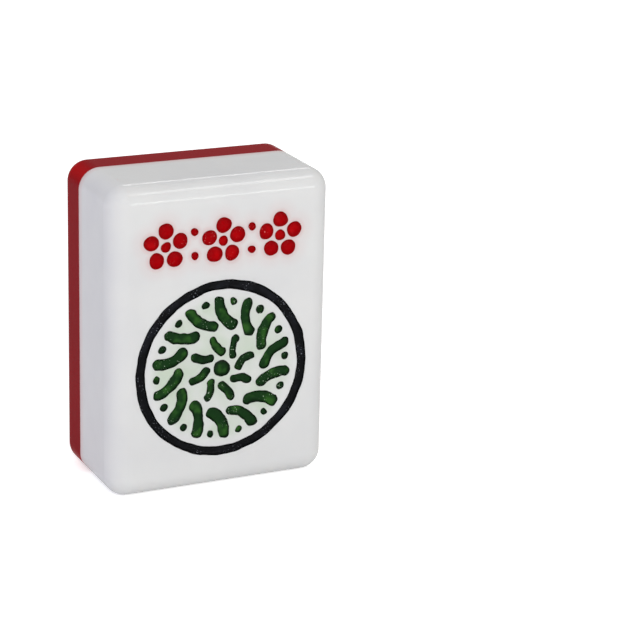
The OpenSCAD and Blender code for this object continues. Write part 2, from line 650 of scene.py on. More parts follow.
@dataclass(frozen=True)
class Blossom:
    """Five round petals round an eye."""

    petal_d: float = 1.5
    petal_land: float = 0.25
    petals: int = 5

    @property
    def pitch(self) -> float:
        """Degrees from petal to petal."""
        return 360 / self.petals

    @property
    def reach(self) -> float:
        """Distance from the middle to the middle of a petal."""
        return (self.petal_d + self.petal_land) / 2 / math.sin(math.radians(self.pitch / 2))

    @property
    def radius(self) -> float:
        """Radius round the whole blossom."""
        return self.reach + self.petal_d / 2

    @property
    def eye_d(self) -> float:
        """Diameter of the eye."""
        return 2 * (self.reach - self.petal_land) - self.petal_d

    def petal_places(self, middle: Point, turn: float) -> list[Matrix]:
        """Gives the places of the petals of one blossom.

        Args:
            middle: Middle of the blossom.
            turn: Angle of its first petal in degrees.

        Returns:
            One place for each petal.
        """
        offsets = [polar(self.reach, turn + i * self.pitch) for i in range(self.petals)]
        return [at((middle[0] + x, middle[1] + y)) for x, y in offsets]


@dataclass(frozen=True)
class Medallion:
    """Ring on the face with a whirl of petals in it."""

    middle: Point = (0.0, 11.9)
    ring_r: float = 8.6
    ring_w: float = 0.9
    ring_land: float = 0.65
    eye_d: float = 1.7
    inner_w: float = 0.75
    inner_count: int = 8
    inner_sweep: float = 18.0
    inner_share: float = 0.4
    outer_w: float = 1.05
    outer_count: int = 14
    outer_sweep: float = 16.0
    tier_land: float = 0.42
    dot_d: float = 0.72
    bend: float = 0.12
    quick_hand: HandWork = HandWork(wander=0.18, chatter=0.09)

    def petals(self, width: float, radii: Point, sweep: float, count: int) -> Repeat:
        """Lays out one tier of petals.

        Args:
            width: Width of a petal.
            radii: Radii of its foot and of its tip.
            sweep: Degrees that the tip runs ahead of the foot.
            count: Number of petals.

        Returns:
            The tier.
        """
        petal = Stroke(width, (radii[0], 0.0), polar(radii[1], sweep), self.bend)
        return Repeat(petal, tuple(at(self.middle, i * 360 / count) for i in range(count)))

    def ornaments(self) -> list[Ornament]:
        """Lays out the ring, both tiers and the dots, from the eye out to the ring.

        Returns:
            One ornament for each CAD node.
        """
        inner_from = self.eye_d / 2 + self.tier_land + self.inner_w / 2
        outer_to = self.ring_r - self.ring_w - self.ring_land - self.outer_w / 2
        tier_step = self.inner_w / 2 + self.tier_land + self.outer_w / 2
        inner_to = inner_from + self.inner_share * (outer_to - inner_from - tier_step)
        outer_from = inner_to + tier_step
        pitch = 360 / self.outer_count
        tips = [polar(outer_to, (i + 0.5) * pitch + self.outer_sweep)
                for i in range(self.outer_count)]
        dots = tuple(at((self.middle[0] + x, self.middle[1] + y)) for x, y in tips)
        ring = Repeat(Ring(self.ring_w, self.ring_r - self.ring_w / 2), (at(self.middle),))
        eye = Repeat(Dot(self.eye_d), (at(self.middle),))
        outer = self.petals(self.outer_w, (outer_from, outer_to),
                            self.outer_sweep, self.outer_count)
        inner = self.petals(self.inner_w, (inner_from, inner_to),
                            self.inner_sweep, self.inner_count)
        small = (eye, Repeat(Dot(self.dot_d), dots))
        return [
            Ornament("ring_paint", Slot.BLACK_PAINT, (ring,)),
            Ornament("outer_petal_paint", Slot.GREEN_PAINT, (outer,), self.quick_hand),
            Ornament("inner_petal_paint", Slot.GREEN_PAINT, (inner,), self.quick_hand),
            Ornament("rosette_dot_paint", Slot.GREEN_PAINT, small, self.quick_hand),
        ]


@dataclass(frozen=True)
class BlossomRow:
    """Row of three blossoms over the medallion, with a pair of dots between neighbours."""

    height: float = 24.25
    blossom: Blossom = Blossom()
    turn: float = 90.0
    gap: float = 1.2
    dot_d: float = 0.72

    @property
    def pitch(self) -> float:
        """Distance from blossom to blossom."""
        return 2 * self.blossom.radius + self.gap

    @property
    def dot_rise(self) -> float:
        """Distance of a dot from the middle line of the row."""
        return self.blossom.radius / 2

    def ornaments(self) -> list[Ornament]:
        """Lays out the petals, the eyes and the dots.

        Returns:
            One ornament for each CAD node.
        """
        middles = [(side * self.pitch, self.height) for side in (-1, 0, 1)]
        petals = tuple(place for middle in middles
                       for place in self.blossom.petal_places(middle, self.turn))
        dots = tuple(at((across * self.pitch / 2, self.height + up * self.dot_rise))
                     for across in (-1, 1) for up in (-1, 1))
        eyes = Repeat(Dot(self.blossom.eye_d), tuple(at(middle) for middle in middles))
        return [
            Ornament("face_blossom_paint", Slot.RED_PAINT,
                     (Repeat(Dot(self.blossom.petal_d), petals),)),
            Ornament("face_dot_paint", Slot.RED_PAINT, (eyes, Repeat(Dot(self.dot_d), dots))),
        ]


@dataclass(frozen=True)
class PlumBranch:
    """Branch on the back with twigs, buds and blossoms, drawn in shares of its height."""

    height: float
    margin: float = 3.0
    twig_w: float = 0.85
    bud_d: float = 1.4
    bud_gap: float = 0.35
    blossom: Blossom = Blossom()
    stippling: HandWork = HandWork(lump=0.09, lump_size=0.26)
    trunk: tuple[tuple[float, Point, Point, float], ...] = (
        (2.0, (-0.195, 0.042), (0.038, 0.288), -0.11),
        (1.6, (0.048, 0.382), (-0.071, 0.596), 0.11),
        (1.2, (-0.065, 0.672), (0.058, 0.825), -0.11),
    )
    twigs: tuple[tuple[Point, Point, float], ...] = (
        ((-0.163, 0.142), (-0.204, 0.246), 0.12),
        ((0.008, 0.092), (0.15, 0.121), -0.15),
        ((0.067, 0.183), (0.158, 0.217), 0.12),
        ((0.083, 0.873), (0.129, 0.929), -0.12),
        ((-0.031, 0.771), (-0.042, 0.888), -0.1),
        ((0.096, 0.788), (0.204, 0.825), -0.14),
    )
    blossoms: tuple[tuple[Point, float], ...] = (
        ((0.204, 0.417), 20.0),
        ((-0.196, 0.467), -10.0),
        ((0.192, 0.642), 5.0),
        ((-0.188, 0.758), 30.0),
    )

    def point(self, share: Point) -> Point:
        """Turns a share of the height into a place on the back."""
        return share[0] * self.height, self.margin + share[1] * self.height

    def bud(self, start: Point, end: Point) -> Point:
        """Gives the middle of the bud that follows a twig.

        Args:
            start: Foot of the twig, in shares of the height.
            end: Its tip, in shares of the height.

        Returns:
            The point on the back.
        """
        foot, tip = Vector(self.point(start)), Vector(self.point(end))
        step = self.twig_w / 2 + self.bud_gap + self.bud_d / 2
        return tuple(tip + (tip - foot).normalized() * step)

    def ornaments(self) -> list[Ornament]:
        """Lays out the branch, the blossoms, their eyes and the buds.

        Returns:
            One ornament for each CAD node.
        """
        strokes = [Stroke(width, self.point(start), self.point(end), bend)
                   for width, start, end, bend in self.trunk]
        strokes += [Stroke(self.twig_w, self.point(start), self.point(end), bend)
                    for start, end, bend in self.twigs]
        middles = [(self.point(share), turn) for share, turn in self.blossoms]
        petals = tuple(place for middle, turn in middles
                       for place in self.blossom.petal_places(middle, turn))
        eyes = tuple(at(middle) for middle, _ in middles)
        buds = tuple(at(self.bud(start, end)) for start, end, _ in self.twigs)
        return [
            Ornament("branch_paint", Slot.BLACK_PAINT,
                     tuple(Repeat(stroke, (Matrix.Identity(4),)) for stroke in strokes)),
            Ornament("back_blossom_paint", Slot.GOLD_PAINT,
                     (Repeat(Dot(self.blossom.petal_d), petals),), self.stippling),
            Ornament("back_eye_paint", Slot.BLACK_PAINT, (Repeat(Dot(self.blossom.eye_d), eyes),)),
            Ornament("bud_paint", Slot.GOLD_PAINT,
                     (Repeat(Dot(self.bud_d), buds),), self.stippling),
        ]


class Value:
    """A number that varies over a surface: a socket with Python's operators."""

    def __init__(self, shader: "Shader", socket: bpy.types.NodeSocket) -> None:
        """Wraps a socket of a shader."""
        self.shader = shader
        self.socket = socket

    def maths(self, operation: str, *terms: Given) -> "Value":
        """Adds a Math node and returns its result."""
        node = self.shader.node("ShaderNodeMath", {"operation": operation}, dict(enumerate(terms)))
        return Value(self.shader, node.outputs[0])

    def __add__(self, other: Given) -> "Value":
        """Adds."""
        return self.maths("ADD", self, other)

    def __radd__(self, other: Given) -> "Value":
        """Adds to a number."""
        return self.maths("ADD", other, self)

    def __sub__(self, other: Given) -> "Value":
        """Subtracts."""
        return self.maths("SUBTRACT", self, other)

    def __rsub__(self, other: Given) -> "Value":
        """Subtracts from a number."""
        return self.maths("SUBTRACT", other, self)

    def __mul__(self, other: Given) -> "Value":
        """Multiplies."""
        return self.maths("MULTIPLY", self, other)

    def __rmul__(self, other: Given) -> "Value":
        """Multiplies a number."""
        return self.maths("MULTIPLY", other, self)

    def __abs__(self) -> "Value":
        """Drops the sign."""
        return self.maths("ABSOLUTE", self)

    def largest(self, other: Given) -> "Value":
        """Takes the larger of two values."""
        return self.maths("MAXIMUM", self, other)

    def smallest(self, other: Given) -> "Value":
        """Takes the smaller of two values."""
        return self.maths("MINIMUM", self, other)

    def span(self, other: "Value") -> "Value":
        """Gives the length of two numbers that stand at right angles."""
        return self.maths("SQRT", self * self + other * other)

    def rise(self, low: float, high: float) -> "Value":
        """Goes smoothly from 0 at low to 1 at high; low may be the larger.

        Args:
            low: Where the result is 0.
            high: Where the result is 1.

        Returns:
            The share between them.
        """
        ends = {"Value": self, "From Min": low, "From Max": high}
        node = self.shader.node("ShaderNodeMapRange", {"interpolation_type": "SMOOTHSTEP"}, ends)
        return Value(self.shader, node.outputs[0])


class Shader:
    """Node tree of one material, with its nodes made by one method."""

    MIX_FACTOR, MIX_FIRST, MIX_SECOND, MIX_RESULT = 0, 6, 7, 2
    WAVE_SHARE = 1

    def __init__(self, tree: bpy.types.NodeTree) -> None:
        """Clears a tree and starts from nothing."""
        self.tree = tree
        tree.nodes.clear()

    @classmethod
    def for_material(cls, name: str) -> tuple["Shader", bpy.types.Material]:
        """Makes a material.

        Args:
            name: The material's name.

        Returns:
            Its shader and itself.
        """
        material = bpy.data.materials.new(name)
        material.use_nodes = True
        return cls(material.node_tree), material

    def node(self, kind: str, settings: dict[str, Given] | None = None,
             inputs: dict[int | str, Given] | None = None) -> bpy.types.Node:
        """Adds a node.

        Args:
            kind: The node's type.
            settings: Its settings, which are set first.
            inputs: Values or links of its sockets, by name or number.

        Returns:
            The node.
        """
        made = self.tree.nodes.new(kind)
        for key, setting in (settings or {}).items():
            setattr(made, key, setting)
        for key, given in (inputs or {}).items():
            socket = made.inputs[key]
            source = given.socket if isinstance(given, Value) else given
            if isinstance(source, bpy.types.NodeSocket):
                self.tree.links.new(source, socket)
            elif socket.type == "RGBA":
                socket.default_value = (*source, 1.0)
            else:
                socket.default_value = source
        return made

    def vector(self, operation: str,
               inputs: dict[int | str, Given]) -> bpy.types.bpy_prop_collection:
        """Adds a Vector Math node and returns its outputs."""
        return self.node("ShaderNodeVectorMath", {"operation": operation}, inputs).outputs

    def place(self, centre: Triple = (0.0, 0.0, 0.0)) -> bpy.types.NodeSocket:
        """Gives the place on the piece in millimetres.

        Args:
            centre: The point that it is measured from, in millimetres.

        Returns:
            The place.
        """
        source = self.node("ShaderNodeTexCoord").outputs["Object"]
        scaled = self.vector("SCALE", {0: source, "Scale": MM_PER_METRE})[0]
        return self.vector("SUBTRACT", {0: scaled, 1: centre})[0]

    def axes(self, place: bpy.types.NodeSocket) -> tuple[Value, Value, Value]:
        """Splits a place into its three numbers."""
        node = self.node("ShaderNodeSeparateXYZ", None, {0: place})
        return tuple(Value(self, socket) for socket in node.outputs)

    def distance(self, place: bpy.types.NodeSocket, weights: Triple) -> Value:
        """Gives how far a place is from its centre, with each axis weighted."""
        weighted = self.vector("MULTIPLY", {0: place, 1: weights})[0]
        return Value(self, self.vector("LENGTH", {0: weighted})["Value"])

    def noise(self, place: bpy.types.NodeSocket, size: float, detail: float = 2.0) -> Value:
        """Gives soft noise from 0 to 1.

        Args:
            place: The place in millimetres.
            size: Size of its largest forms in millimetres.
            detail: Number of finer layers.

        Returns:
            The noise.
        """
        node = self.node("ShaderNodeTexNoise", {"noise_dimensions": "3D"},
                         {"Vector": place, "Scale": 1 / size, "Detail": detail})
        return Value(self, node.outputs[0])

    def blend(self, share: Given, first: Given, second: Given) -> bpy.types.NodeSocket:
        """Mixes two colours.

        Args:
            share: How much of the second colour there is.
            first: The colour at share 0.
            second: The colour at share 1.

        Returns:
            The mixed colour.
        """
        node = self.node("ShaderNodeMix", {"data_type": "RGBA"},
                         {self.MIX_FACTOR: share, self.MIX_FIRST: first, self.MIX_SECOND: second})
        return node.outputs[self.MIX_RESULT]

    def bump(self, height: Value, depth: float) -> bpy.types.NodeSocket:
        """Turns a height into a normal.

        Args:
            height: The height, from 0 to 1.
            depth: How deep that is, in millimetres.

        Returns:
            The normal.
        """
        node = self.node("ShaderNodeBump", None,
                         {"Strength": 1.0, "Distance": depth * METRES_PER_MM, "Height": height})
        return node.outputs[0]

    def surface(self, shader: bpy.types.NodeSocket) -> None:
        """Puts a shader on the surface."""
        self.node("ShaderNodeOutputMaterial", None, {"Surface": shader})

    def gloss(self, inputs: dict[int | str, Given]) -> None:
        """Puts a Principled shader with these sockets on the surface."""
        self.surface(self.node("ShaderNodeBsdfPrincipled", None, inputs).outputs[0])


@dataclass(frozen=True)
class Mottle:
    """Soft patches: noise of one size, and the band of it over which a patch comes up."""

    size: float
    band: Band
    detail: float = 2.0

    def share(self, shader: Shader, place: bpy.types.NodeSocket) -> Value:
        """Gives how far a place lies inside a patch, from 0 to 1."""
        return shader.noise(place, self.size, self.detail).rise(*self.band)


@dataclass(frozen=True)
class Polish:
    """Buffed acrylic: smears in the gloss over a faint ripple."""

    roughness: float
    smear: float
    smear_size: float
    smear_detail: float = 4.0
    ripple_size: float = 0.9
    ripple_detail: float = 1.0
    ripple_depth: float = 0.004
    ior: float = 1.49

    def sockets(self, shader: Shader, place: bpy.types.NodeSocket) -> dict[str, Given]:
        """Gives the sockets of a Principled shader that make the polish.

        Args:
            shader: The shader that gets the nodes.
            place: The place in millimetres.

        Returns:
            The values and links of the sockets.
        """
        smears = shader.noise(place, self.smear_size, self.smear_detail)
        ripple = shader.noise(place, self.ripple_size, self.ripple_detail)
        return {
            "Roughness": self.roughness + smears * self.smear,
            "IOR": self.ior,
            "Normal": shader.bump(ripple, self.ripple_depth),
        }


@dataclass(frozen=True)
class WhiteAcrylic:
    """Polished milky acrylic, with painted glow where light from the red layer and from the paint
    bleeds into it.
    """

    colour: Colour = from_screen(231, 231, 232)
    cloud: Colour = from_screen(227, 227, 229)
    clouds: Mottle = Mottle(6.0, (0.35, 0.7), 3.0)
    # Painted glow by the seam: red light that bleeds from the red layer into the milky acrylic.
    painted_seam_glow: Colour = from_screen(236, 196, 194)
    seam: float = 1.7
    seam_reach: float = 1.1
    seam_share: float = 0.5
    # Painted glow round the medallion: green light from its paint bleeding through the acrylic.
    green_glow: Colour = from_screen(184, 208, 174)
    medallion: Medallion = Medallion()
    haze: Mottle = Mottle(3.2, (0.3, 0.7))
    haze_radius: float = 7.6
    haze_fade: float = 1.6
    haze_weights: Triple = (1.0, 2.0, 1.0)
    haze_least: float = 0.25
    haze_share: float = 0.55
    # Painted glow round the row: red light from its paint bleeding through the acrylic.
    red_glow: Colour = from_screen(226, 140, 138)
    row: BlossomRow = BlossomRow()
    near_glow: Band = (0.5, 0.0)
    near_share: float = 0.2
    far_glow: Band = (1.6, 0.2)
    far_share: float = 0.1
    glow_depth: Band = (-5.2, -5.8)
    polish: Polish = Polish(0.08, 0.08, 2.5)
    milk: float = 0.25
    milk_radius: Triple = (1.0, 0.92, 0.88)
    milk_depth: float = 0.8

    def row_distance(self, shader: Shader) -> Value:
        """Gives how far a place on the face is from the edge of the row's red paint.

        Args:
            shader: The shader that gets the nodes.

        Returns:
            The distance in millimetres, below 0 inside the paint.
        """
        row, blossom = self.row, self.row.blossom
        x, _, z = shader.axes(shader.place((0.0, 0.0, row.height)))
        nearest = x.maths("ROUND", x * (1 / row.pitch)).smallest(1.0).largest(-1.0)
        across = x - nearest * row.pitch
        radius = across.span(z)
        half_pitch = math.radians(blossom.pitch / 2)
        angle = z.maths("ARCTAN2", z, across) - math.radians(row.turn)
        off_petal = angle.maths("WRAP", angle, half_pitch, -half_pitch)
        along = radius * off_petal.maths("COSINE", off_petal) - blossom.reach
        beside = radius * off_petal.maths("SINE", off_petal)
        to_petal = along.span(beside) - blossom.petal_d / 2
        to_eye = radius - blossom.eye_d / 2
        to_dot = (abs(x) - row.pitch / 2).span(abs(z) - row.dot_rise) - row.dot_d / 2
        return to_petal.smallest(to_eye).smallest(to_dot)

    def green_haze(self, shader: Shader, place: bpy.types.NodeSocket) -> Value:
        """Gives how much painted glow a place gets: green light from the medallion's paint bleeding
        through the acrylic.

        Args:
            shader: The shader that gets the nodes.
            place: The place in millimetres.

        Returns:
            The share of green.
        """
        across, up = self.medallion.middle
        away = shader.distance(shader.place((across, -HALF_DEPTH, up)), self.haze_weights)
        uneven = self.haze_least + (1 - self.haze_least) * self.haze.share(shader, place)
        inside = away.rise(self.haze_radius, self.haze_radius - self.haze_fade)
        return inside * uneven * self.haze_share

    def red_tint(self, shader: Shader, depth: Value) -> Value:
        """Gives how much painted glow a place gets: red light from the row's paint bleeding through
        the acrylic.

        Args:
            shader: The shader that gets the nodes.
            depth: Where the place lies from front to back, in millimetres.

        Returns:
            The share of red.
        """
        away = self.row_distance(shader)
        near = away.rise(*self.near_glow) * self.near_share
        far = away.rise(*self.far_glow) * self.far_share
        return (near + far) * depth.rise(*self.glow_depth)

    def material(self) -> bpy.types.Material:
        """Builds the material.

        Returns:
            The material.
        """
        shader, material = Shader.for_material("white_acrylic_polished")
        place = shader.place()
        _, depth, _ = shader.axes(place)
        # Painted glow: pink by the seam, for red light from the red layer.
        seam = depth.rise(self.seam - self.seam_reach, self.seam) * self.seam_share
        colour = shader.blend(self.clouds.share(shader, place), self.colour, self.cloud)
        colour = shader.blend(seam, colour, self.painted_seam_glow)
        # Painted glow: green light from the medallion's paint.
        colour = shader.blend(self.green_haze(shader, place), colour, self.green_glow)
        # Painted glow: red light from the row's paint.
        colour = shader.blend(self.red_tint(shader, depth), colour, self.red_glow)
        shader.gloss({
            "Base Color": colour,
            "Subsurface Weight": self.milk,
            "Subsurface Radius": self.milk_radius,
            "Subsurface Scale": self.milk_depth * METRES_PER_MM,
            **self.polish.sockets(shader, place),
        })
        return material


@dataclass(frozen=True)
class RedAcrylic:
    """Polished red acrylic, deep in the flats, with painted glow along its rounded edges where
    light passes through.
    """

    deep: Colour = from_screen(146, 4, 18)
    # Painted glow: the livelier red of the rounded edges, where light passes through.
    edge_glow: Colour = from_screen(190, 2, 10)
    half_size: Triple = (HALF_WIDTH, HALF_DEPTH, HALF_HEIGHT)
    edge: float = 2.2
    edge_share: float = 0.9
    clouds: Mottle = Mottle(5.0, (0.3, 0.75), 3.0)
    cloud_share: float = 0.12
    polish: Polish = Polish(0.1, 0.1, 2.0)
    specular: float = 0.005
    coat: float = 0.05
    coat_ior: float = 2.0
    coat_roughness: float = 0.05

    def material(self) -> bpy.types.Material:
        """Builds the material.

        Returns:
            The material.
        """
        shader, material = Shader.for_material("red_acrylic_polished")
        place = shader.place((0.0, 0.0, HALF_HEIGHT))
        near_side, near_back, near_end = (
            abs(axis).rise(half - self.edge, half)
            for axis, half in zip(shader.axes(place), self.half_size)
        )
        # Painted glow: the red is livelier along the rounded edges, where light passes through the
        # acrylic.
        edge = (near_side * near_back).largest(near_end * near_back).largest(near_side * near_end)
        clouds = self.clouds.share(shader, place)
        share = (edge * self.edge_share + clouds * self.cloud_share).rise(0.0, 1.0)
        shader.gloss({
            "Base Color": shader.blend(share, self.deep, self.edge_glow),
            "Specular IOR Level": self.specular,
            "Coat Weight": self.coat,
            "Coat IOR": self.coat_ior,
            "Coat Roughness": self.coat_roughness,
            **self.polish.sockets(shader, place),
        })
        return material


@dataclass(frozen=True)
class CementLine:
    """Cured cement between the layers, stained by the red one."""

    pale: Colour = from_screen(200, 124, 126)
    stained: Colour = from_screen(176, 72, 78)
    stains: Mottle = Mottle(3.5, (0.3, 0.7), 3.0)
    roughness: float = 0.25
    roughness_spread: float = 0.15
    ior: float = 1.5

    def material(self) -> bpy.types.Material:
        """Builds the material.

        Returns:
            The material.
        """
        shader, material = Shader.for_material("cement_line")
        stain = self.stains.share(shader, shader.place())
        shader.gloss({
            "Base Color": shader.blend(stain, self.pale, self.stained),
            "Roughness": self.roughness + stain * self.roughness_spread,
            "IOR": self.ior,
        })
        return material


@dataclass(frozen=True)
class Enamel:
    """Hand-wiped enamel in a cut, with painted shade and painted highlights: dark up the walls of
    the cut, brighter on the floor, flecked with specks of light.
    """

    name: str
    # Painted shade: colour where the paint climbs the walls of the cut.
    shaded_wall: Colour
    floor: Colour
    patch: Colour
    # Painted highlight: colour of the specks of light caught by the lumps.
    painted_glint: Colour
    glint_from: float
    gloss: float
    roughness: float = 0.1
    roughness_spread: float = 0.15
    surface: float = HALF_DEPTH
    wall_depth: float = 0.06
    floor_depth: float = 0.27
    puddle_size: float = 0.9
    puddle_spread: float = 0.12
    patches: Mottle = Mottle(1.7, (0.5, 0.68))
    patch_share: float = 0.55
    clusters: Mottle = Mottle(2.2, (0.5, 0.62), 1.0)
    glint_band: float = 0.07
    grain: float = 0.16
    grain_detail: float = 3.0
    grain_share: float = 0.6
    grain_depth: float = 0.03
    rib_pitch: float = 0.0
    rib_depth: float = 0.0
    rib_share: float = 0.6
    rib_distortion: float = 2.0
    rib_detail: float = 2.0

    def relief(self, shader: Shader, place: bpy.types.NodeSocket,
               lumps: Value) -> bpy.types.NodeSocket:
        """Gives the normal of the dried enamel: lumps, and the ribs that a stiff brush leaves.

        Args:
            shader: The shader that gets the nodes.
            place: The place in millimetres.
            lumps: The height of the lumps, from 0 to 1.

        Returns:
            The normal.
        """
        if not self.rib_depth:
            return shader.bump(lumps, self.grain_depth)
        wave = shader.node("ShaderNodeTexWave", {"bands_direction": "DIAGONAL"}, {
            "Vector": place,
            "Scale": 1 / self.rib_pitch,
            "Distortion": self.rib_distortion,
            "Detail": self.rib_detail,
        })
        ribs = Value(shader, wave.outputs[Shader.WAVE_SHARE])
        return shader.bump(lumps * (1 - self.rib_share) + ribs * self.rib_share, self.rib_depth)

    def material(self) -> bpy.types.Material:
        """Builds the material.

        Returns:
            The material.
        """
        shader, material = Shader.for_material(self.name)
        place = shader.place()
        _, y, _ = shader.axes(place)
        grain = shader.noise(place, self.grain, self.grain_detail)
        puddle = shader.noise(place, self.puddle_size)
        depth = self.surface - abs(y) + (puddle - 0.5) * self.puddle_spread
        # Painted shade: darker up the walls of the cut, brighter on its floor.
        lit_floor_share = depth.rise(self.wall_depth, self.floor_depth)
        patches = self.patches.share(shader, place) * lit_floor_share
        # Painted highlights: bright specks for light caught by the lumpy enamel, in clusters.
        glints = grain.rise(self.glint_from, self.glint_from + self.glint_band)
        glints = glints * self.clusters.share(shader, place)
        colour = shader.blend(lit_floor_share, self.shaded_wall, self.floor)
        colour = shader.blend(patches * self.patch_share, colour, self.patch)
        colour = shader.blend(glints, colour, self.painted_glint)
        lumps = grain * self.grain_share + puddle * (1 - self.grain_share)
        shader.gloss({
            "Base Color": colour,
            "Roughness": self.roughness + grain * self.roughness_spread,
            "Specular IOR Level": self.gloss,
            "Normal": self.relief(shader, place, lumps),
        })
        return material


class Finish(Enum):
    """Finish of each slot."""

    WHITE_ACRYLIC = WhiteAcrylic()
    RED_ACRYLIC = RedAcrylic()
    CEMENT = CementLine()
    # In each enamel below, the colour for the walls of the cut is painted shade, and the speck
    # colour a painted highlight.
    BLACK_PAINT = Enamel(
        "black_enamel",
        shaded_wall=from_screen(2, 3, 5),
        floor=from_screen(8, 9, 13),
        patch=from_screen(30, 32, 40),
        painted_glint=from_screen(132, 136, 146),
        glint_from=0.62,
        gloss=0.1,
    )
    GREEN_PAINT = Enamel(
        "green_enamel",
        shaded_wall=from_screen(6, 26, 8),
        floor=from_screen(20, 57, 22),
        patch=from_screen(62, 118, 42),
        painted_glint=from_screen(172, 196, 168),
        glint_from=0.63,
        gloss=0.08,
    )
    RED_PAINT = Enamel(
        "red_enamel",
        shaded_wall=from_screen(146, 0, 5),
        floor=from_screen(169, 0, 7),
        patch=from_screen(194, 8, 14),
        painted_glint=from_screen(226, 120, 118),
        glint_from=0.64,
        gloss=0.04,
    )
    GOLD_PAINT = Enamel(
        "gold_enamel",
        shaded_wall=from_screen(176, 104, 24),
        floor=from_screen(206, 134, 42),
        patch=from_screen(222, 158, 62),
        painted_glint=from_screen(246, 214, 150),
        glint_from=0.64,
        gloss=0.3,
        roughness=0.18,
        rib_pitch=0.8,
        rib_depth=0.04,
    )


class Palette:
    """The materials, each made once."""

    def __init__(self) -> None:
        """Builds the material of every slot."""
        self.materials = {slot: Finish[slot.name].value.material() for slot in Slot}

    def __getitem__(self, slot: Slot) -> bpy.types.Material:
        """Gives the material of a slot."""
        return self.materials[slot]


@dataclass(frozen=True)
class LayeredTile:
    """The tumbled body: a white layer and a red one, with the cement between them."""

    size: Triple = TILE_SIZE
    edge_r: float = 2.0
    edge_steps: int = 16
    edge_profile: float = 0.5
    back_t: float = 4.7
    bond_t: float = 0.1
    slice_snap: float = 1e-5
    sharp_degrees: float = 40.0

    @property
    def half_depth(self) -> float:
        """Distance from the middle to the face and to the back."""
        return self.size[1] / 2

    def blank(self) -> bpy.types.Object:
        """Models the uncut tile: a block with every edge and corner rounded.

        Returns:
            The block.
        """
        block = Bench.add(bpy.ops.mesh.primitive_cube_add, size=1.0,
                          location=(0, 0, self.size[2] / 2), scale=self.size)
        bpy.ops.object.transform_apply(location=True, rotation=True, scale=True)
        with Bench.editing(block):
            bpy.ops.mesh.bevel(offset=self.edge_r, segments=self.edge_steps,
                               profile=self.edge_profile, affect="EDGES", clamp_overlap=False)
        return block

    def slice(self, blank: bpy.types.Object, front: float | None,
              back: float | None) -> bpy.types.Object:
        """Cuts one layer from a copy of the blank.

        Args:
            blank: The uncut tile.
            front: Where the layer starts, or nothing for the face of the tile.
            back: Where it ends, or nothing for the back of the tile.

        Returns:
            The layer.
        """
        layer = Bench.copy(blank, Matrix.Identity(4))
        for cut, outer in ((front, False), (back, True)):
            if cut is not None:
                with Bench.editing(layer):
                    bpy.ops.mesh.bisect(plane_co=(0, cut, 0), plane_no=(0, 1, 0), use_fill=True,
                                        clear_inner=not outer, clear_outer=outer,
                                        threshold=self.slice_snap)
        return layer

    def engrave(self, layer: bpy.types.Object, side: Side, ornaments: list[Ornament],
                palette: Palette) -> None:
        """Sinks the ornaments of one side and lines them.

        Args:
            layer: The layer to cut.
            side: The side that the ornaments are on.
            ornaments: What is cut.
            palette: The materials.
        """
        lay = side.lay(self.half_depth)
        for ornament in ornaments:
            for cutter in ornament.cutters():
                Bench.carve(layer, Bench.move(cutter, lay))
            paint = Bench.move(ornament.lining(), lay)
            Bench.polish(paint, self.sharp_degrees)
            Bench.hand_over(paint, ornament.node, ornament.slot, palette[ornament.slot])

    def build(self, palette: Palette) -> None:
        """Models the layers, engraves both sides and hands every piece over.

        Args:
            palette: The materials.
        """
        blank = self.blank()
        seam_back = self.half_depth - self.back_t
        seam_front = seam_back - self.bond_t
        white = self.slice(blank, None, seam_front)
        film = self.slice(blank, seam_front, seam_back)
        red = self.slice(blank, seam_back, None)
        Bench.scrap(blank)
        face = Medallion().ornaments() + BlossomRow().ornaments()
        spray = PlumBranch(self.size[2] - 2 * PlumBranch.margin).ornaments()
        self.engrave(white, Side.FACE, face, palette)
        self.engrave(red, Side.BACK, spray, palette)
        layers = ((white, "face_block", Slot.WHITE_ACRYLIC), (film, "bond_film", Slot.CEMENT),
                  (red, "back_layer", Slot.RED_ACRYLIC))
        for piece, node, slot in layers:
            Bench.polish(piece, self.sharp_degrees)
            Bench.hand_over(piece, node, slot, palette[slot])


@dataclass(frozen=True)
class Lamp:
    """Soft panel that faces the tile."""

    name: str
    azimuth: float
    elevation: float
    distance: float
    size: Point
    watts: float
    mirrored: bool
    colour: Colour = (1.0, 1.0, 1.0)


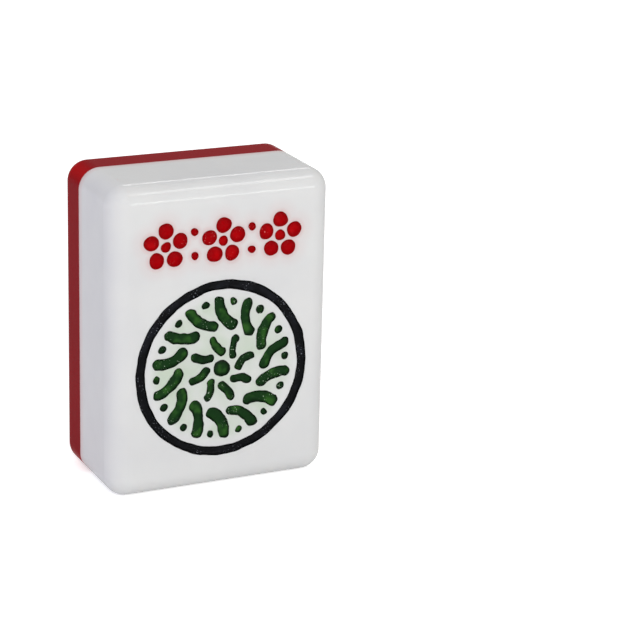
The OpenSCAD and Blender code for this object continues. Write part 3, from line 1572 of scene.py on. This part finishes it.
@dataclass(frozen=True)
class Studio:
    """Camera, soft lamps and a pale floor."""

    lens: float = 132.5
    sensor: float = 36.0
    clip: Band = (0.01, 20.0)
    aim: Triple = (10.60, -5.31, 15.00)
    distance: float = 223.7
    azimuth: float = -25.99
    elevation: float = 18.39
    roll: float = 1.56
    subject: Triple = (0.0, 0.0, 0.015)
    floor_size: float = 8.0
    floor_colour: Colour = from_screen(245, 245, 245)
    sky: Colour = (1.0, 1.0, 0.95)
    white: Colour = (1.0, 1.0, 1.0)
    sky_level: float = 0.44
    glossy_share: float = 0.15
    floor_glow: float = 0.56
    lamps: tuple[Lamp, ...] = (
        Lamp("front_panel", -19.0, 31.0, 0.6, (0.3, 0.24), 1.41, False),
        Lamp("left_fill", -105.0, 25.0, 0.6, (0.4, 0.4), 0.27, False, (0.2, 0.18, 1.0)),
        Lamp("upper_strip", 56.0, 60.0, 0.5, (0.2, 0.06), 0.11, True),
        Lamp("lower_strip", 25.5, 14.6, 0.5, (0.2, 0.05), 0.12, True),
        Lamp("back_panel", 172.0, 12.0, 0.6, (0.5, 0.4), 1.4, False),
        Lamp("back_strip", 150.0, 38.0, 0.5, (0.2, 0.05), 0.1, True),
    )

    @staticmethod
    def direction(azimuth: float, elevation: float) -> Vector:
        """Gives the way from the tile to a place round it; azimuth 0 is before the face.

        Args:
            azimuth: Degrees round the tile, anticlockwise from above.
            elevation: Degrees over the floor.

        Returns:
            The unit vector.
        """
        a, e = math.radians(azimuth), math.radians(elevation)
        return Vector((math.sin(a) * math.cos(e), -math.cos(a) * math.cos(e), math.sin(e)))

    def set_camera(self) -> None:
        """Stands the camera at the photograph's angle."""
        camera = Bench.add(bpy.ops.object.camera_add)
        camera.name = "studio_camera"
        camera.data.lens = self.lens
        camera.data.sensor_width = self.sensor
        camera.data.clip_start, camera.data.clip_end = self.clip
        back = self.direction(self.azimuth, self.elevation)
        place = (Vector(self.aim) + back * self.distance) * METRES_PER_MM
        turn = (-back).to_track_quat("-Z", "Y").to_matrix().to_4x4()
        tilt = Matrix.Rotation(math.radians(self.roll), 4, "Z")
        camera.matrix_world = Matrix.Translation(place) @ turn @ tilt
        bpy.context.scene.camera = camera

    def set_lamps(self) -> None:
        """Hangs the soft panels round the tile."""
        for lamp in self.lamps:
            panel = Bench.add(bpy.ops.object.light_add, type="AREA")
            panel.name = lamp.name
            panel.data.shape = "RECTANGLE"
            panel.data.size, panel.data.size_y = lamp.size
            panel.data.energy = lamp.watts
            panel.data.color = lamp.colour
            panel.visible_glossy = lamp.mirrored
            way = self.direction(lamp.azimuth, lamp.elevation)
            panel.location = Vector(self.subject) + way * lamp.distance
            panel.rotation_euler = way.to_track_quat("Z", "Y").to_euler()

    def seen_share(self, shader: Shader) -> Value:
        """Gives how much of the white background a ray sees, by the kind of ray.

        Args:
            shader: The shader that gets the nodes.

        Returns:
            The share, from 0 to 1.
        """
        rays = shader.node("ShaderNodeLightPath").outputs
        mirror = Value(shader, rays["Is Glossy Ray"]) * self.glossy_share
        through = Value(shader, rays["Is Transmission Ray"])
        return Value(shader, rays["Is Camera Ray"]).largest(mirror).largest(through)

    def set_world(self) -> None:
        """Surrounds the tile with even light that the camera sees as white."""
        world = bpy.data.worlds.new("studio_surround")
        bpy.context.scene.world = world
        world.use_nodes = True
        shader = Shader(world.node_tree)
        light = shader.node("ShaderNodeBackground", None,
                            {"Color": self.sky, "Strength": self.sky_level})
        white = shader.node("ShaderNodeBackground", None, {"Color": self.white, "Strength": 1.0})
        both = shader.node("ShaderNodeMixShader", None,
                           {0: self.seen_share(shader), 1: light.outputs[0], 2: white.outputs[0]})
        shader.node("ShaderNodeOutputWorld", None, {"Surface": both.outputs[0]})

    def set_floor(self) -> None:
        """Lays the pale floor, which glows white to the camera and keeps the shadow."""
        floor = Bench.add(bpy.ops.mesh.primitive_plane_add, size=self.floor_size)
        floor.name = "studio_floor"
        shader, material = Shader.for_material("pale_floor")
        matt = shader.node("ShaderNodeBsdfDiffuse", None, {"Color": self.floor_colour})
        glow_level = self.seen_share(shader) * self.floor_glow
        glow = shader.node("ShaderNodeEmission", None,
                           {"Color": self.white, "Strength": glow_level})
        both = shader.node("ShaderNodeAddShader", None, {0: matt.outputs[0], 1: glow.outputs[0]})
        shader.surface(both.outputs[0])
        floor.data.materials.append(material)
        floor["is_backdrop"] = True

    def build(self) -> None:
        """Sets up the whole studio."""
        self.set_camera()
        self.set_lamps()
        self.set_world()
        self.set_floor()
        bpy.context.scene.view_settings.view_transform = "Standard"


def write_sizes() -> None:
    """Turns the CAD box and the dressed box into JSON text, which is not kept."""
    boxes = {"cad": CAD_BOX, "dressed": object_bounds()}
    json.dumps({name: [list(corner) for corner in box] for name, box in boxes.items()})


def main() -> None:
    """Builds the studio and the tile, and reports each piece."""
    logging.basicConfig(level=logging.INFO, format="%(name)s: %(message)s")
    noise.seed_set(SEED)
    Studio().build()
    LayeredTile().build(Palette())
    write_sizes()


if __name__ == "__main__":
    main()
